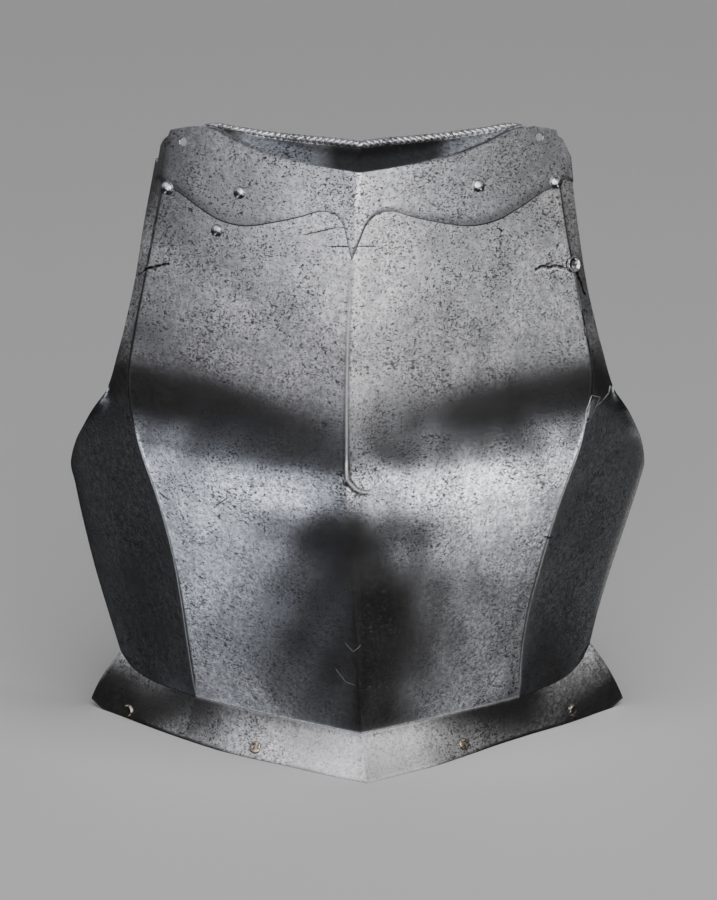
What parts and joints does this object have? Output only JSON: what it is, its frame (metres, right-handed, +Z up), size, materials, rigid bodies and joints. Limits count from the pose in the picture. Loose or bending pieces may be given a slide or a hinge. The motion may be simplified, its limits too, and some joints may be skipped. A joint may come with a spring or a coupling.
{
  "type": "cuirass breastplate",
  "caption": "Steel breastplate of a cuirass with a middle ridge, boxed sides, flared waist flange, roped neck rim and a riveted neck plate with a cusped lower edge.",
  "frame": {"origin": "on the surface that the waist flange stands on, under the middle of the whole thing's box", "axes": "+Z up from the waist to the neck, -Y the way the chest faces, +X the wearer's left"},
  "size_m": [0.374, 0.1828, 0.4205],
  "materials": {
    "main_steel": "old polished steel, finely pitted and scratched",
    "neck_steel": "old polished steel, a little darker and duller than the main plate",
    "rivet_steel": "polished iron rivet heads with dark rims",
    "plug_steel": "hammered iron plug with a bright rim",
    "flange_rivet": "flat iron rivet heads with brownish tarnish"
  },
  "bodies": {
    "root": {"breast_plate": "main_steel", "neck_plate": "neck_steel", "corner_rivet_right": "rivet_steel", "corner_rivet_left": "rivet_steel", "neck_rivet_right": "rivet_steel", "neck_rivet_left": "rivet_steel", "chest_rivet": "rivet_steel", "crack_plug": "plug_steel", "flange_rivet_right_back": "flange_rivet", "flange_rivet_right_front": "flange_rivet", "flange_rivet_left_front": "flange_rivet", "flange_rivet_left_back": "flange_rivet"}
  },
  "joints": []
}
